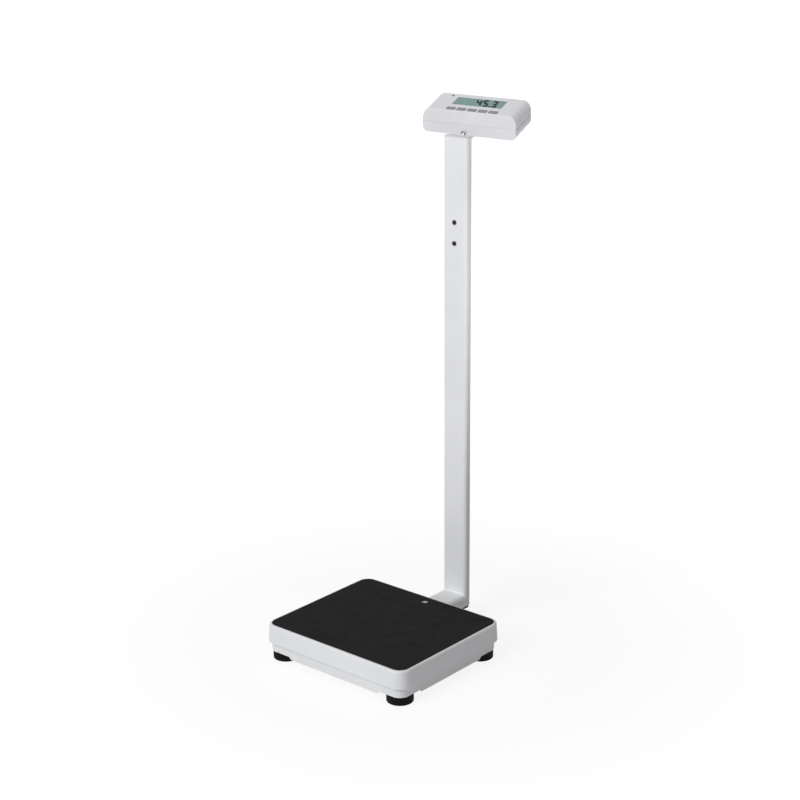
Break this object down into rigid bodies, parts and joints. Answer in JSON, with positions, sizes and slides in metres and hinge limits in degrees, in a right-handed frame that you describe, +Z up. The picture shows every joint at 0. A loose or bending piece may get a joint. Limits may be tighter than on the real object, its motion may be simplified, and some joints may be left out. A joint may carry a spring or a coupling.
{
  "type": "electronic column scale",
  "caption": "Electronic column scale with a low rubber-topped platform on levelling feet, an L-shaped flat-tube column and a tilted display head with push keys.",
  "frame": {"origin": "on the floor, under the middle of the part's bounding box", "axes": "+Z up, +X to the right of someone who stands on the platform facing the column, +Y from the platform to the column"},
  "size_m": [0.3706, 0.4824, 1.1038],
  "materials": {
    "white_paint": "smooth white powder coat",
    "white_abs": "fine satin moulding",
    "zinc_steel": "zinc plated",
    "black_oxide_steel": "black oxide",
    "aluminium": "as machined",
    "black_rubber": "matte",
    "black_plastic": "satin",
    "grey_key": "soft satin",
    "clear_window": "clear polished",
    "lcd": "reflective display glass",
    "vial": "clear tinted",
    "circuit_board": "solder mask"
  },
  "bodies": {
    "base": {"base_tray": "white_paint", "column": "white_paint", "column_cap": "white_paint", "head_bracket": "white_paint", "head_lower_housing": "white_abs", "head_upper_housing": "white_abs", "foot_nut_front_left": "zinc_steel", "foot_nut_front_right": "zinc_steel", "foot_nut_back_left": "zinc_steel", "foot_nut_back_right": "zinc_steel", "load_cell_spacer_lower": "zinc_steel", "arm_saddle": "zinc_steel", "arm_bolt_left": "zinc_steel", "arm_bolt_right": "zinc_steel", "bracket_nut_upper": "zinc_steel", "bracket_nut_lower": "zinc_steel", "head_screw_left": "zinc_steel", "head_screw_right": "zinc_steel", "cell_bolt_fixed_front": "black_oxide_steel", "cell_bolt_fixed_back": "black_oxide_steel", "bracket_bolt_upper": "black_oxide_steel", "bracket_bolt_lower": "black_oxide_steel", "load_cell": "aluminium", "arm_strip": "black_plastic", "status_led": "black_plastic", "battery_pack": "black_plastic", "signal_cable": "black_plastic", "lcd_window": "clear_window", "lcd_panel": "lcd", "main_board": "circuit_board"},
    "platform": {"platform_cover": "white_paint", "platform_mat": "black_rubber", "level_cup": "white_abs", "level_vial": "vial", "spider": "aluminium", "load_cell_spacer_upper": "zinc_steel", "cell_bolt_live_front": "black_oxide_steel", "cell_bolt_live_back": "black_oxide_steel", "support_pad_front_left": "black_rubber", "support_pad_front_right": "black_rubber", "support_pad_back_left": "black_rubber", "support_pad_back_right": "black_rubber"},
    "stud_front_left": {"foot_stud_front_left": "zinc_steel"},
    "wheel_front_left": {"foot_wheel_front_left": "black_plastic"},
    "stud_front_right": {"foot_stud_front_right": "zinc_steel"},
    "wheel_front_right": {"foot_wheel_front_right": "black_plastic"},
    "stud_back_left": {"foot_stud_back_left": "zinc_steel"},
    "wheel_back_left": {"foot_wheel_back_left": "black_plastic"},
    "stud_back_right": {"foot_stud_back_right": "zinc_steel"},
    "wheel_back_right": {"foot_wheel_back_right": "black_plastic"},
    "key_1": {"key_1": "grey_key"},
    "key_2": {"key_2": "grey_key"},
    "key_3": {"key_3": "grey_key"},
    "key_4": {"key_4": "grey_key"},
    "key_5": {"key_5": "grey_key"},
    "battery_door": {"battery_door": "white_abs"}
  },
  "joints": [
    {"name": "platform_press", "type": "slide", "parent": "base", "child": "platform", "axis": [0, 0, 1], "range_m": [-0.0005, 0], "stiffness_N_per_m": 400000, "springref_m": 0.00015, "deforming": ["load_cell"]},
    {"name": "foot_screw_front_left", "type": "slide", "parent": "base", "child": "stud_front_left", "axis": [0, 0, -1], "range_m": [0, 0.006]},
    {"name": "foot_turn_front_left", "type": "hinge", "parent": "stud_front_left", "child": "wheel_front_left", "pos_m": [-0.152, -0.20736, 0.008], "axis": [0, 0, -1], "range_deg": [0, 1439]},
    {"name": "foot_screw_front_right", "type": "slide", "parent": "base", "child": "stud_front_right", "axis": [0, 0, -1], "range_m": [0, 0.006]},
    {"name": "foot_turn_front_right", "type": "hinge", "parent": "stud_front_right", "child": "wheel_front_right", "pos_m": [0.152, -0.20736, 0.008], "axis": [0, 0, -1], "range_deg": [0, 1439]},
    {"name": "foot_screw_back_left", "type": "slide", "parent": "base", "child": "stud_back_left", "axis": [0, 0, -1], "range_m": [0, 0.006]},
    {"name": "foot_turn_back_left", "type": "hinge", "parent": "stud_back_left", "child": "wheel_back_left", "pos_m": [-0.152, 0.04434, 0.008], "axis": [0, 0, -1], "range_deg": [0, 1439]},
    {"name": "foot_screw_back_right", "type": "slide", "parent": "base", "child": "stud_back_right", "axis": [0, 0, -1], "range_m": [0, 0.006]},
    {"name": "foot_turn_back_right", "type": "hinge", "parent": "stud_back_right", "child": "wheel_back_right", "pos_m": [0.152, 0.04434, 0.008], "axis": [0, 0, -1], "range_deg": [0, 1439]},
    {"name": "key_1_press", "type": "slide", "parent": "base", "child": "key_1", "axis": [0, 0.471, -0.8821], "range_m": [0, 0.0005], "stiffness_N_per_m": 400},
    {"name": "key_2_press", "type": "slide", "parent": "base", "child": "key_2", "axis": [0, 0.471, -0.8821], "range_m": [0, 0.0005], "stiffness_N_per_m": 400},
    {"name": "key_3_press", "type": "slide", "parent": "base", "child": "key_3", "axis": [0, 0.471, -0.8821], "range_m": [0, 0.0005], "stiffness_N_per_m": 400},
    {"name": "key_4_press", "type": "slide", "parent": "base", "child": "key_4", "axis": [0, 0.471, -0.8821], "range_m": [0, 0.0005], "stiffness_N_per_m": 400},
    {"name": "key_5_press", "type": "slide", "parent": "base", "child": "key_5", "axis": [0, 0.471, -0.8821], "range_m": [0, 0.0005], "stiffness_N_per_m": 400},
    {"name": "battery_door_swing", "type": "hinge", "parent": "base", "child": "battery_door", "pos_m": [-0.0655, 0.20526, 1.03684], "axis": [-1, 0, 0], "range_deg": [0, 90]}
  ],
  "couplings": [
    {"joint": "foot_screw_front_left", "follows": "foot_turn_front_left", "m_per_rad": 0.00023873},
    {"joint": "foot_screw_front_right", "follows": "foot_turn_front_right", "m_per_rad": 0.00023873},
    {"joint": "foot_screw_back_left", "follows": "foot_turn_back_left", "m_per_rad": 0.00023873},
    {"joint": "foot_screw_back_right", "follows": "foot_turn_back_right", "m_per_rad": 0.00023873}
  ]
}
